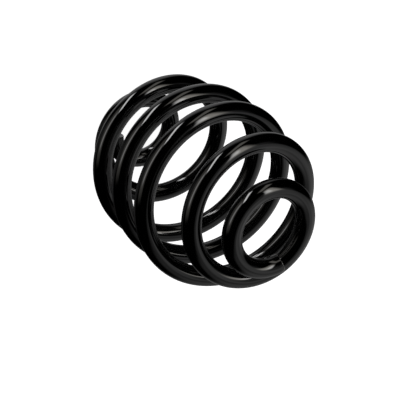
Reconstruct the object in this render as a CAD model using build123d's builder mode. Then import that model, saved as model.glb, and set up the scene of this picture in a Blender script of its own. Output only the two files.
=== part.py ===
from build123d import *
from math import cos, sin, tau
import os

# Barrel coil spring, millimetres.
#
# The spring is one round bar, coiled right-hand about +Z and standing upright as it does
# between its two seats. Z = 0 is the plane of the lower seat, on the axis of the full-width
# coils, and the lower cut end of the bar lies towards +X.
#
# A place along the bar is a count of turns from the lower cut end. The bar is divided by
# upright planes into lengths that each slide a little on the next as the spring closes:
# a closed coil at each end and quarter turns between them.

# Driving dimensions
bar_diameter = 12.0
bar_radius = bar_diameter / 2
cut_end_chamfer = 0.5

total_turns = 6.33
end_coil_turns = 0.915
quarter_turn = 0.25
quarters_per_zone = 6

body_radius = 52.3            # to the middle of the bar, at the full-width coils
lower_tip_radius = 16.4       # the same at the lower cut end
upper_tip_radius = 23.6       # the same at the upper cut end
lower_flare = (-0.145, 2.325)  # turns from the lower end where the coil starts and stops widening
upper_flare = (0.20, 2.21)    # the same, counted from the upper end

lower_tip_offset = (0.1, 4.8)   # centre of the lower end coil, from the body axis
upper_tip_offset = (-4.1, 0.9)  # centre of the upper end coil, from the body axis

middle_pitch = 29.6           # rise per turn halfway up
shoulder_rise = 35.4          # pitch added towards the ends, before the coils close
lower_closed_pitch = 2.0
upper_closed_pitch = 7.6
lower_opening = (-0.07, 1.71)  # turns from the lower end where the pitch opens
upper_opening = (0.62, 1.79)  # the same, counted from the upper end

sections_per_turn = 36
height_steps_per_turn = 120


def ease(value, limits):
    """Smooth step: 0 before the first limit, 1 after the second."""
    low, high = limits
    share = min(max((value - low) / (high - low), 0.0), 1.0)
    return share * share * (3 - 2 * share)


def pitch(turn):
    """Rise of the bar per turn."""
    lower_open = ease(turn, lower_opening)
    upper_open = ease(total_turns - turn, upper_opening)
    from_middle = 2 * turn / total_turns - 1
    free_pitch = middle_pitch + shoulder_rise * from_middle ** 2
    return (
        free_pitch * lower_open * upper_open
        + lower_closed_pitch * (1 - lower_open)
        + upper_closed_pitch * (1 - upper_open)
    )


def height(turn):
    """Height of the middle of the bar: the pitch summed from the lower end."""
    steps = max(1, round(abs(turn) * height_steps_per_turn))
    step = turn / steps
    return bar_radius + step * sum(pitch((i + 0.5) * step) for i in range(steps))


def centre(turn):
    """Point on the middle line of the bar."""
    lower_close = 1 - ease(turn, lower_flare)
    upper_close = 1 - ease(total_turns - turn, upper_flare)
    radius = (
        body_radius
        - (body_radius - lower_tip_radius) * lower_close
        - (body_radius - upper_tip_radius) * upper_close
    )
    shift_x = lower_tip_offset[0] * lower_close + upper_tip_offset[0] * upper_close
    shift_y = lower_tip_offset[1] * lower_close + upper_tip_offset[1] * upper_close
    angle = tau * turn
    return Vector(shift_x + radius * cos(angle), shift_y + radius * sin(angle), height(turn))


def direction(turn):
    """Direction of the bar, towards the upper end."""
    small = 0.001
    return (centre(turn + small) - centre(turn - small)).normalized()


def cross_section(turn):
    """Upright plane across the bar."""
    along = direction(turn)
    level = Vector(along.X, along.Y, 0)
    return Plane(origin=centre(turn), x_dir=Vector(0, 0, 1), z_dir=level)


def tall_radius(turn):
    """Half height of the upright cut across the sloping bar."""
    along = direction(turn)
    return bar_radius / Vector(along.X, along.Y, 0).length


def bar_length(name, first, last):
    """One length of the bar, with upright end faces and a chamfer where the bar is cut off."""
    count = round((last - first) * sections_per_turn)

    with BuildPart() as piece:
        for i in range(count + 1):
            turn = first + (last - first) * i / count
            with BuildSketch(cross_section(turn)):
                Ellipse(tall_radius(turn), bar_radius)
        loft()

        for tip in (0, total_turns):
            if tip in (first, last):
                end_faces = piece.faces().filter_by(GeomType.PLANE)
                tip_face = end_faces.sort_by_distance(centre(tip))[0]
                chamfer(tip_face.edges(), cut_end_chamfer)

    piece.part.label = name
    export_step(piece.part, f"parts/{name}.step")


def quarter_turns(zone, first):
    """The quarter turns of one zone, from the bottom up."""
    for number in range(quarters_per_zone):
        start = first + number * quarter_turn
        bar_length(f"{zone}_quarter_{number + 1}", start, start + quarter_turn)


os.makedirs("parts", exist_ok=True)

zone_turns = quarters_per_zone * quarter_turn

bar_length("lower_end_coil", 0, end_coil_turns)
quarter_turns("lower_taper", end_coil_turns)
quarter_turns("body", end_coil_turns + zone_turns)
quarter_turns("upper_taper", end_coil_turns + 2 * zone_turns)
bar_length("upper_end_coil", end_coil_turns + 3 * zone_turns, total_turns)
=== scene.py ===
import math
from collections import namedtuple

import bpy
import numpy as np
from mathutils import Matrix, Vector


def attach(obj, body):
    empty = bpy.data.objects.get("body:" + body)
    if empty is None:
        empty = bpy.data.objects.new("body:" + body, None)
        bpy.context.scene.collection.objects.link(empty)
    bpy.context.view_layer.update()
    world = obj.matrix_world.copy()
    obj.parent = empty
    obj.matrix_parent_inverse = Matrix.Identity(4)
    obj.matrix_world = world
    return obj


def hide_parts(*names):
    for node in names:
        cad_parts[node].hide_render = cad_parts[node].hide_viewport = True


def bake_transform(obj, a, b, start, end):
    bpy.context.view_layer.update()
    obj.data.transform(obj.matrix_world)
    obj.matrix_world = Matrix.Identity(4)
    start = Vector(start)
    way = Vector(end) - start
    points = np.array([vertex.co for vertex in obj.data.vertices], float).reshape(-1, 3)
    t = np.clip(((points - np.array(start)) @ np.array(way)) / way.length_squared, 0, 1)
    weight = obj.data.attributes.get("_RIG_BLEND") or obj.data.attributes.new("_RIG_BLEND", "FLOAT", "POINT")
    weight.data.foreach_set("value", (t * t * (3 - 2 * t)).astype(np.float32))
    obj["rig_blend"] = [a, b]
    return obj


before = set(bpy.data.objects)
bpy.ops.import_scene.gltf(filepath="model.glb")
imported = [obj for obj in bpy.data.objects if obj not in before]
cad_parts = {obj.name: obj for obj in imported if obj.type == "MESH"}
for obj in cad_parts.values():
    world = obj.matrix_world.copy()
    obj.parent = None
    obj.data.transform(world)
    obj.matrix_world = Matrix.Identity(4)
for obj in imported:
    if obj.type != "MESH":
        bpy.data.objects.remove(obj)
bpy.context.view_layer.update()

# Barrel coil spring, metres. One round bar is coiled right-hand about +Z. A place along the bar
# is a count of turns from the lower cut end, as in the CAD model, whose driving dimensions the
# visible bar repeats so that it lies exactly where the CAD bar does.

BAR_RADIUS = 0.006
TOTAL_TURNS = 6.33
END_COIL_TURNS = 0.915
QUARTER_TURN = 0.25
QUARTERS_PER_ZONE = 6
ZONES = ("lower_taper", "body", "upper_taper")

BODY_RADIUS = 0.0523
LOWER_TIP_RADIUS = 0.0164
UPPER_TIP_RADIUS = 0.0236
LOWER_FLARE = (-0.145, 2.325)
UPPER_FLARE = (0.20, 2.21)
LOWER_TIP_OFFSET = (0.0001, 0.0048)
UPPER_TIP_OFFSET = (-0.0041, 0.0009)

MIDDLE_PITCH = 0.0296
SHOULDER_RISE = 0.0354
LOWER_CLOSED_PITCH = 0.0020
UPPER_CLOSED_PITCH = 0.0076
LOWER_OPENING = (-0.07, 1.71)
UPPER_OPENING = (0.62, 1.79)

# How finely the bar is meshed
RINGS_PER_TURN = 240
SIDES = 64
TABLE_STEPS_PER_TURN = 2000

# The cut end: the bar narrows a little to a rolled edge, round a sheared face that is a little
# dished and uneven
NARROW_LENGTH = 0.0034
NARROW_DEPTH = 0.00022
NARROW_LEAN = math.atan(2 * NARROW_DEPTH / NARROW_LENGTH)
EDGE_ROUND = 0.0005
FACE_RADIUS = BAR_RADIUS - NARROW_DEPTH - EDGE_ROUND * math.cos(NARROW_LEAN)
FACE_DISH = 0.00025
SQUARE_TO_BAR = math.pi / 2
EDGE_RINGS = 6
FACE_RINGS = 10

# Tracks of the shear across the cut face: their depth, direction and waves, in radians per metre
TRACK_DEPTH = 0.00006
TRACK_ANGLE = 0.6
FINE_TRACKS = 5200
BROAD_TRACKS = 2100
TRACK_DRIFT = 700

# How thin the coat is on the cut face, where 0 is the full coat and 1 the sharpest edge
FACE_THIN_COAT = 0.2

LOWER_BODY = "lower_end_coil"
UPPER_BODY = "upper_end_coil"


# ---------------------------------------------------------------- shape of the bar

def ease(value, limits):
    """Smooth step: 0 before the first limit, 1 after the second."""
    low, high = limits
    share = np.clip((value - low) / (high - low), 0.0, 1.0)
    return share * share * (3 - 2 * share)


def coil_radius(turn):
    """Distance from the coil's centre to the middle of the bar."""
    lower_close = 1 - ease(turn, LOWER_FLARE)
    upper_close = 1 - ease(TOTAL_TURNS - turn, UPPER_FLARE)
    return (
        BODY_RADIUS
        - (BODY_RADIUS - LOWER_TIP_RADIUS) * lower_close
        - (BODY_RADIUS - UPPER_TIP_RADIUS) * upper_close
    )


def pitch(turn):
    """Rise of the bar per turn."""
    lower_open = ease(turn, LOWER_OPENING)
    upper_open = ease(TOTAL_TURNS - turn, UPPER_OPENING)
    from_middle = 2 * turn / TOTAL_TURNS - 1
    free_pitch = MIDDLE_PITCH + SHOULDER_RISE * from_middle ** 2
    return (
        free_pitch * lower_open * upper_open
        + LOWER_CLOSED_PITCH * (1 - lower_open)
        + UPPER_CLOSED_PITCH * (1 - upper_open)
    )


def running_total(rate_of_turn):
    """Turns, and the sum of a rate over the turns from the lower end."""
    count = round(TOTAL_TURNS * TABLE_STEPS_PER_TURN)
    turns = np.linspace(0, TOTAL_TURNS, count + 1)
    middles = (turns[1:] + turns[:-1]) / 2
    steps = rate_of_turn(middles) * np.diff(turns)
    return turns, np.concatenate([[0.0], np.cumsum(steps)])


def working_compliance(turn):
    """How much a short length of bar gives: coil radius cubed, and nothing in the end coils."""
    works = (turn > END_COIL_TURNS) & (turn < TOTAL_TURNS - END_COIL_TURNS)
    return np.where(works, coil_radius(turn) ** 3, 0.0)


HEIGHT_TURNS, HEIGHTS = running_total(pitch)
GIVE_TURNS, GIVES = running_total(working_compliance)


def centre(turn):
    """Points on the middle line of the bar, one row per turn count."""
    lower_close = 1 - ease(turn, LOWER_FLARE)
    upper_close = 1 - ease(TOTAL_TURNS - turn, UPPER_FLARE)
    radius = coil_radius(turn)
    shift_x = LOWER_TIP_OFFSET[0] * lower_close + UPPER_TIP_OFFSET[0] * upper_close
    shift_y = LOWER_TIP_OFFSET[1] * lower_close + UPPER_TIP_OFFSET[1] * upper_close
    angle = math.tau * turn
    height = BAR_RADIUS + np.interp(turn, HEIGHT_TURNS, HEIGHTS)
    return np.stack(
        [shift_x + radius * np.cos(angle), shift_y + radius * np.sin(angle), height], axis=1
    )


def share_of_stroke(turn):
    """How far the bar moves at each place, as a share of the upper end coil's travel."""
    return np.interp(turn, GIVE_TURNS, GIVES) / GIVES[-1]


def unit(vectors):
    return vectors / np.linalg.norm(vectors, axis=1)[:, None]


def bar_axes(turn):
    """Along the bar, away from the coil's axis, and square to both, at each turn count."""
    small = 1e-4
    ahead = np.minimum(turn + small, TOTAL_TURNS)
    behind = np.maximum(turn - small, 0.0)
    along = unit(centre(ahead) - centre(behind))
    outward = unit(np.cross(along, [0.0, 0.0, 1.0]))
    upward = np.cross(outward, along)
    return along, outward, upward


# ---------------------------------------------------------------- meshes

def narrowing(turn):
    """How far the bar has narrowed towards a cut end, and how far its surface leans there."""
    tip = 0.0 if turn < TOTAL_TURNS / 2 else TOTAL_TURNS
    share = max(0.0, 1 - abs(turn - tip) * length_per_turn(tip) / NARROW_LENGTH)
    return NARROW_DEPTH * share ** 2, math.atan(math.tan(NARROW_LEAN) * share)


def tip_profile():
    """Rings of the cut end, from the bar's surface to the middle of the face.

    Each is a radius, a distance past the tip, how far the surface leans and how thin its coat is.
    """
    rows = []
    for i in range(1, EDGE_RINGS + 1):
        lean = NARROW_LEAN + (SQUARE_TO_BAR - NARROW_LEAN) * i / EDGE_RINGS
        radius = FACE_RADIUS + EDGE_ROUND * math.cos(lean)
        rows.append((radius, EDGE_ROUND * (math.sin(lean) - 1), lean, math.sin(lean) ** 0.5))
    for i in range(1, FACE_RINGS):
        share = 1 - i / FACE_RINGS
        dish = FACE_DISH * (1 - share ** 2)
        rows.append((FACE_RADIUS * share, -dish, SQUARE_TO_BAR, FACE_THIN_COAT))
    return rows


def shear_tracks(radius, angles):
    """Height of the tracks that the shear leaves on the cut face, fading out at its edge."""
    across = radius * np.cos(angles - TRACK_ANGLE)
    down = radius * np.sin(angles - TRACK_ANGLE)
    tracks = np.sin(across * FINE_TRACKS) * 0.5 + np.sin(across * BROAD_TRACKS + down * TRACK_DRIFT)
    fade = np.clip((FACE_RADIUS - radius) / EDGE_ROUND, 0, 1)
    return TRACK_DEPTH * tracks * fade


class BarMesh:
    """Rings of points along the bar, each with its normals and its place along the bar."""

    def __init__(self):
        self.points = []
        self.normals = []
        self.turns = []
        self.past_tips = []
        self.thin_coats = []
        self.angles = np.arange(SIDES) * math.tau / SIDES

    def ring(self, turn, radius, lean, past_tip=0.0, thin_coat=0.0):
        """One ring: lean is how far its normals tip from straight out towards the bar's end."""
        turn_row = np.array([turn])
        along, outward, upward = (row[0] for row in bar_axes(turn_row))
        end_side = -1.0 if turn < TOTAL_TURNS / 2 else 1.0
        cosines, sines = np.cos(self.angles)[:, None], np.sin(self.angles)[:, None]
        spoke = cosines * outward + sines * upward
        push = past_tip + shear_tracks(radius, self.angles)
        ring_points = centre(turn_row)[0] + radius * spoke + push[:, None] * along * end_side
        self.points.append(ring_points)
        self.normals.append(math.cos(lean) * spoke + math.sin(lean) * along * end_side)
        self.turns.append(turn)
        self.past_tips.append(past_tip)
        self.thin_coats.append(thin_coat)

    def build(self, name, first_cap, last_cap):
        """The closed mesh. A cap is the one point that closes an end."""
        ring_count = len(self.points)
        points = np.concatenate(self.points + [first_cap[None], last_cap[None]])
        faces = []
        smooth = []
        for i in range(ring_count - 1):
            for k in range(SIDES):
                after = (k + 1) % SIDES
                low, high = i * SIDES, (i + 1) * SIDES
                faces.append((low + k, high + k, high + after, low + after))
                smooth.append(True)
        first_point = ring_count * SIDES
        top = (ring_count - 1) * SIDES
        for k in range(SIDES):
            after = (k + 1) % SIDES
            faces.append((first_point, k, after))
            faces.append((first_point + 1, top + after, top + k))
            smooth += [False, False]
        mesh = bpy.data.meshes.new(name)
        mesh.from_pydata(points.tolist(), [], faces)
        mesh.polygons.foreach_set("use_smooth", smooth)
        mesh.update()
        return mesh


def bar_mesh(name, first, last):
    """A length of the bar as a closed mesh; an end of the spring gets its cut face."""
    rings = BarMesh()
    tip_rows = tip_profile()
    count = round((last - first) * RINGS_PER_TURN)
    turns = np.linspace(first, last, count + 1)
    has_upper_tip = last == TOTAL_TURNS

    if first == 0:
        add_tip(rings, 0.0, reversed(tip_rows))
        turns = turns[turns * length_per_turn(0.0) > EDGE_ROUND]
    if has_upper_tip:
        turns = turns[(TOTAL_TURNS - turns) * length_per_turn(TOTAL_TURNS) > EDGE_ROUND]
    for turn in turns:
        depth, lean = narrowing(turn)
        rings.ring(turn, BAR_RADIUS - depth, lean)
    if has_upper_tip:
        add_tip(rings, TOTAL_TURNS, tip_rows)

    first_cap = rings.points[0].mean(axis=0)
    last_cap = rings.points[-1].mean(axis=0)
    mesh = rings.build(name, first_cap, last_cap)
    set_normals(mesh, rings)
    store_coat_places(mesh, rings)
    return mesh


def length_per_turn(tip):
    """Length of bar in one turn at a cut end."""
    return math.tau * float(coil_radius(np.array([tip]))[0])


def add_tip(rings, tip, rows):
    for radius, past_tip, lean, thin_coat in rows:
        rings.ring(tip, radius, lean, past_tip, thin_coat)


def set_normals(mesh, rings):
    """Exact normals round the bar, so that lengths meet without a seam, and flat caps."""
    normals = np.concatenate(rings.normals + [np.zeros((2, 3))])
    loop_vertices = np.zeros(len(mesh.loops), np.int32)
    mesh.loops.foreach_get("vertex_index", loop_vertices)
    loop_normals = normals[loop_vertices]
    face_normals = np.zeros(len(mesh.polygons) * 3, np.float32)
    mesh.polygons.foreach_get("normal", face_normals)
    face_normals = face_normals.reshape(-1, 3)
    bar_faces = (len(rings.points) - 1) * SIDES
    cap_loops = np.arange(bar_faces * 4, len(mesh.loops))
    cap_faces = bar_faces + (cap_loops - bar_faces * 4) // 3
    loop_normals[cap_loops] = face_normals[cap_faces]
    mesh.normals_split_custom_set(loop_normals.tolist())


def store_coat_places(mesh, rings):
    """Where each point is on the unrolled bar, and how thin the coat is there."""
    ring_count = len(rings.points)
    around = np.tile(rings.angles, ring_count)
    length = np.repeat(rings.turns, SIDES) * math.tau * BODY_RADIUS
    past_tip = np.repeat(rings.past_tips, SIDES)
    bar_place = np.stack(
        [BAR_RADIUS * np.cos(around), BAR_RADIUS * np.sin(around), length + past_tip], axis=1
    )
    caps = np.array([[0, 0, length[0]], [0, 0, length[-1]]])
    store_vector(mesh, "bar_place", np.concatenate([bar_place, caps]))

    thin_coat = np.repeat(rings.thin_coats, SIDES)
    store_value(mesh, "thin_coat", np.concatenate([thin_coat, thin_coat[0:1], thin_coat[-1:]]))


def store_vector(mesh, name, values):
    layer = mesh.attributes.new(name, "FLOAT_VECTOR", "POINT")
    layer.data.foreach_set("vector", values.astype(np.float32).ravel())


def store_value(mesh, name, values):
    layer = mesh.attributes.get(name) or mesh.attributes.new(name, "FLOAT", "POINT")
    layer.data.foreach_set("value", values.astype(np.float32))


# ---------------------------------------------------------------- materials

COAT_DARK = (0.0001, 0.0001, 0.0001, 1)
COAT_LIGHT = (0.0006, 0.0006, 0.0005, 1)
BARE_STEEL = (0.42, 0.41, 0.40, 1)
COAT_IOR = 1.9
COAT_ROUGHNESS = (0.03, 0.055)
STEEL_ROUGHNESS = 0.36

# Sizes of the coat's detail, as noise scales, and the depths of its orange peel and its swells
PEEL_SCALE = 420.0
SWELL_SCALE = 90.0
HAZE_SCALE = 35.0
CHIP_SCALE = 900.0
PEEL_DEPTH = 0.00004
SWELL_DEPTH = 0.0002
RELIEF_STRENGTH = 0.05

# The sum of thinness and chip noise at which bare steel starts to show, and shows fully
CHIP_LIMITS = (0.95, 1.25)


def new_material(name):
    material = bpy.data.materials.new(name)
    material.use_nodes = True
    tree = material.node_tree
    tree.nodes.clear()
    return material, tree


def node(tree, kind, inputs=None, **settings):
    """Adds a node, sets its properties, and fills or links its inputs."""
    made = tree.nodes.new(kind)
    for key, value in settings.items():
        setattr(made, key, value)
    for key, value in (inputs or {}).items():
        if isinstance(value, bpy.types.NodeSocket):
            tree.links.new(value, made.inputs[key])
        else:
            made.inputs[key].default_value = value
    return made


def mix_value(tree, share, low, high):
    """A number that goes from low to high as share goes from 0 to 1."""
    made = node(tree, "ShaderNodeMapRange", {"Value": share, "To Min": low, "To Max": high})
    return made.outputs["Result"]


def mix_colour(tree, share, low, high):
    made = node(tree, "ShaderNodeMix", {0: share, 6: low, 7: high}, data_type="RGBA")
    return made.outputs[2]


def maths(tree, operation, first, second=0.0):
    made = node(tree, "ShaderNodeMath", {0: first, 1: second}, operation=operation)
    return made.outputs[0]


def noise(tree, place, scale, detail):
    made = node(tree, "ShaderNodeTexNoise", {"Vector": place, "Scale": scale, "Detail": detail})
    return made.outputs["Fac"]


def coat_relief(tree, place):
    """Normal of the coat: a fine orange peel on slow swells."""
    peel = node(
        tree,
        "ShaderNodeBump",
        {
            "Height": noise(tree, place, PEEL_SCALE, 1.0),
            "Strength": RELIEF_STRENGTH,
            "Distance": PEEL_DEPTH,
        },
    )
    swell = node(
        tree,
        "ShaderNodeBump",
        {
            "Height": noise(tree, place, SWELL_SCALE, 1.0),
            "Strength": RELIEF_STRENGTH,
            "Distance": SWELL_DEPTH,
            "Normal": peel.outputs["Normal"],
        },
    )
    return swell.outputs["Normal"]


def bare_share(tree, place):
    """1 where the coat is chipped through to the steel, which is where it is thinnest."""
    thin = node(tree, "ShaderNodeAttribute", attribute_name="thin_coat").outputs["Fac"]
    low, high = CHIP_LIMITS
    chipped = node(
        tree,
        "ShaderNodeMapRange",
        {
            "Value": maths(tree, "ADD", thin, noise(tree, place, CHIP_SCALE, 2.0)),
            "From Min": low,
            "From Max": high,
        },
        interpolation_type="SMOOTHSTEP",
    )
    return chipped.outputs["Result"]


def coated_steel():
    """Gloss black coating, a little hazy in places and worn to the steel round the cut ends."""
    material, tree = new_material("gloss_black_coating")
    place = node(tree, "ShaderNodeAttribute", attribute_name="bar_place").outputs["Vector"]
    haze = noise(tree, place, HAZE_SCALE, 3.0)
    bare = bare_share(tree, place)
    coat_colour = mix_colour(tree, haze, COAT_DARK, COAT_LIGHT)
    coat_roughness = mix_value(tree, haze, *COAT_ROUGHNESS)
    shader = node(
        tree,
        "ShaderNodeBsdfPrincipled",
        {
            "Base Color": mix_colour(tree, bare, coat_colour, BARE_STEEL),
            "Metallic": bare,
            "Roughness": mix_value(tree, bare, coat_roughness, STEEL_ROUGHNESS),
            "IOR": COAT_IOR,
            "Normal": coat_relief(tree, place),
        },
    )
    node(tree, "ShaderNodeOutputMaterial", {"Surface": shader.outputs["BSDF"]})
    return material


def pale_floor():
    """Plain matt white floor, bright enough in the picture that only contact shadows show."""
    material, tree = new_material("pale_floor")
    path = node(tree, "ShaderNodeLightPath")
    glow = mix_value(tree, path.outputs["Is Camera Ray"], 0.0, FLOOR_GLOW)
    shader = node(
        tree,
        "ShaderNodeBsdfPrincipled",
        {
            "Base Color": FLOOR_WHITE,
            "Roughness": 1.0,
            "Specular IOR Level": 0.0,
            "Emission Color": FLOOR_WHITE,
            "Emission Strength": glow,
        },
    )
    node(tree, "ShaderNodeOutputMaterial", {"Surface": shader.outputs["BSDF"]})
    return material


# ---------------------------------------------------------------- pieces

def add_piece(node_name, first, last, coating):
    """The visible length of bar that stands for one CAD node."""
    mesh = bar_mesh(node_name + "_bar", first, last)
    piece = bpy.data.objects.new(node_name + "_bar", mesh)
    bpy.context.scene.collection.objects.link(piece)
    mesh.materials.append(coating)
    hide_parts(node_name)
    return piece


def bend_with_spring(piece, first, last):
    """Each ring moves by its own share of the stroke, so the bar stays round and unbroken."""
    ends = centre(np.array([first, last]))
    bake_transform(piece, LOWER_BODY, UPPER_BODY, start=ends[0], end=ends[1])
    count = round((last - first) * RINGS_PER_TURN)
    turns = np.linspace(first, last, count + 1)
    shares = np.repeat(share_of_stroke(turns), SIDES)
    caps = share_of_stroke(np.array([first, last]))
    store_value(piece.data, "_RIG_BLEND", np.concatenate([shares, caps]))


def add_spring(coating):
    lower = add_piece(LOWER_BODY, 0, END_COIL_TURNS, coating)
    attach(lower, LOWER_BODY)
    start = END_COIL_TURNS
    for zone in ZONES:
        for number in range(1, QUARTERS_PER_ZONE + 1):
            piece = add_piece(f"{zone}_quarter_{number}", start, start + QUARTER_TURN, coating)
            bend_with_spring(piece, start, start + QUARTER_TURN)
            start += QUARTER_TURN
    upper = add_piece(UPPER_BODY, start, TOTAL_TURNS, coating)
    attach(upper, UPPER_BODY)


# ---------------------------------------------------------------- studio

FLOOR_RADIUS = 4.0
FLOOR_WHITE = (0.94, 0.94, 0.94, 1)
FLOOR_GLOW = 0.97
VIEW_AZIMUTH = -40.08
VIEW_ELEVATION = 50.19
VIEW_ROLL = 131.17
VIEW_DISTANCE = 0.7674
VIEW_LENS = 109.30
VIEW_AIM = Vector((-0.00108, 0.01414, 0.09549))


def view_axes():
    """Right, up and backward directions of the main camera."""
    azimuth, elevation = math.radians(VIEW_AZIMUTH), math.radians(VIEW_ELEVATION)
    backward = Vector(
        (
            math.cos(azimuth) * math.cos(elevation),
            math.sin(azimuth) * math.cos(elevation),
            math.sin(elevation),
        )
    )
    level = Vector((-math.sin(azimuth), math.cos(azimuth), 0))
    upright = backward.cross(level)
    roll = math.radians(VIEW_ROLL)
    right = math.cos(roll) * level + math.sin(roll) * upright
    up = math.cos(roll) * upright - math.sin(roll) * level
    return right, up, backward


def add_camera():
    data = bpy.data.cameras.new("camera")
    data.lens = VIEW_LENS
    camera = bpy.data.objects.new("camera", data)
    right, up, backward = view_axes()
    turned = Matrix((right, up, backward)).transposed().to_4x4()
    camera.matrix_world = Matrix.Translation(VIEW_AIM + backward * VIEW_DISTANCE) @ turned
    bpy.context.scene.collection.objects.link(camera)
    bpy.context.scene.camera = camera


def add_floor():
    data = bpy.data.meshes.new("floor")
    reach = FLOOR_RADIUS
    corners = [(-reach, -reach, 0), (reach, -reach, 0), (reach, reach, 0), (-reach, reach, 0)]
    data.from_pydata(corners, [], [(0, 1, 2, 3)])
    data.materials.append(pale_floor())
    floor = bpy.data.objects.new("floor", data)
    floor.visible_glossy = False
    bpy.context.scene.collection.objects.link(floor)


# A soft box that the gloss coating mirrors, placed as the main camera sees it. Its azimuth and
# elevation start at the camera's own direction, right and up positive. Angles are in degrees, and
# softness is how much of the box its faded edge takes up.
SoftBox = namedtuple(
    "SoftBox", "name azimuth elevation roll width height side_soft end_soft strength"
)

SOFT_BOXES = (
    SoftBox("key", -35, 50, -60, 42, 9, 0.2, 0.4, 4.6),
    SoftBox("left_strip", -50, 15, -120, 42, 14, 0.3, 0.3, 0.95),
    SoftBox("left_fill", -55, 15, -15, 40, 65, 0.4, 0.3, 0.25),
    SoftBox("right_fill", 35, 48, -115, 40, 12, 0.2, 0.5, 0.65),
    SoftBox("right_strip", 55, 5, -60, 44, 12, 0.4, 0.8, 1.6),
    SoftBox("right_core", 50, 3, -60, 26, 7, 0.6, 0.6, 2.4),
    SoftBox("low_right_wall", 110, -25, 20, 85, 35, 0.1, 0.3, 0.16),
    SoftBox("back_left", -165, 45, -15, 50, 75, 0.4, 0.4, 0.42),
    SoftBox("back_low", 150, -35, 35, 80, 60, 0.4, 0.5, 0.23),
    SoftBox("left_wall", -110, 10, 25, 75, 30, 0.1, 0.5, 0.06),
    SoftBox("low_glow", 65, -40, 95, 80, 35, 0.3, 0.5, 0.12),
)
WARM_BOXES = ("left_fill", "right_fill", "right_strip")
WHITE_LIGHT = (1.0, 1.0, 1.0)
WARM_LIGHT = (1.04, 1.0, 0.92)
ROOM_LIGHT = 0.35


def box_axes(azimuth, elevation, roll):
    """Middle, width and height directions of a soft box."""
    right, up, backward = view_axes()
    azimuth, elevation, roll = (math.radians(angle) for angle in (azimuth, elevation, roll))
    level = math.cos(azimuth) * right - math.sin(azimuth) * backward
    outward = math.sin(azimuth) * right + math.cos(azimuth) * backward
    middle = math.cos(elevation) * outward + math.sin(elevation) * up
    rise = math.cos(elevation) * up - math.sin(elevation) * outward
    width_axis = math.cos(roll) * level + math.sin(roll) * rise
    height_axis = math.cos(roll) * rise - math.sin(roll) * level
    return middle, width_axis, height_axis


def dot(tree, direction, axis):
    made = node(tree, "ShaderNodeVectorMath", {0: direction, 1: tuple(axis)}, operation="DOT_PRODUCT")
    return made.outputs["Value"]


def soft_edge(tree, angle, size, softness):
    """1 inside the box, falling smoothly to 0 across its edge."""
    half = math.radians(size) / 2
    edge = node(
        tree,
        "ShaderNodeMapRange",
        {
            "Value": maths(tree, "ABSOLUTE", angle),
            "From Min": half * (1 - softness),
            "From Max": half * (1 + softness),
            "To Min": 1.0,
            "To Max": 0.0,
        },
        interpolation_type="SMOOTHSTEP",
    )
    return edge.outputs["Result"]


def soft_box(tree, direction, box):
    """Light of one soft box in a direction."""
    middle, width_axis, height_axis = box_axes(box.azimuth, box.elevation, box.roll)
    ahead = dot(tree, direction, middle)
    across = maths(tree, "ARCTAN2", dot(tree, direction, width_axis), ahead)
    along = maths(tree, "ARCSINE", dot(tree, direction, height_axis))
    sides = soft_edge(tree, across, box.width, box.side_soft)
    ends = soft_edge(tree, along, box.height, box.end_soft)
    shape = maths(tree, "MULTIPLY", sides, ends)
    tint = WARM_LIGHT if box.name in WARM_BOXES else WHITE_LIGHT
    colour = tuple(box.strength * part for part in tint)
    lit = node(tree, "ShaderNodeVectorMath", {0: colour, "Scale": shape}, operation="SCALE")
    lit.label = box.name
    return lit.outputs["Vector"]


def add_studio_light():
    """An even white room, which mirrored rays see as dark with soft boxes in it.

    Its importance map is off, because it would be made without the soft boxes.
    """
    world = bpy.data.worlds.new("studio")
    world.use_nodes = True
    world.cycles.sampling_method = "NONE"
    tree = world.node_tree
    tree.nodes.clear()
    direction = node(tree, "ShaderNodeTexCoord").outputs["Generated"]
    boxes = (0.0, 0.0, 0.0)
    for box in SOFT_BOXES:
        light = soft_box(tree, direction, box)
        total = node(tree, "ShaderNodeVectorMath", {0: boxes, 1: light}, operation="ADD")
        boxes = total.outputs["Vector"]
    path = node(tree, "ShaderNodeLightPath")
    room = mix_value(tree, path.outputs["Is Diffuse Ray"], 1.0, ROOM_LIGHT)
    seen = mix_colour(tree, path.outputs["Is Glossy Ray"], room, boxes)
    background = node(tree, "ShaderNodeBackground", {"Color": seen})
    node(tree, "ShaderNodeOutputWorld", {"Surface": background.outputs[0]})
    bpy.context.scene.world = world
    bpy.context.scene.view_settings.view_transform = "Standard"


coating = coated_steel()
add_spring(coating)
add_floor()
add_studio_light()
add_camera()
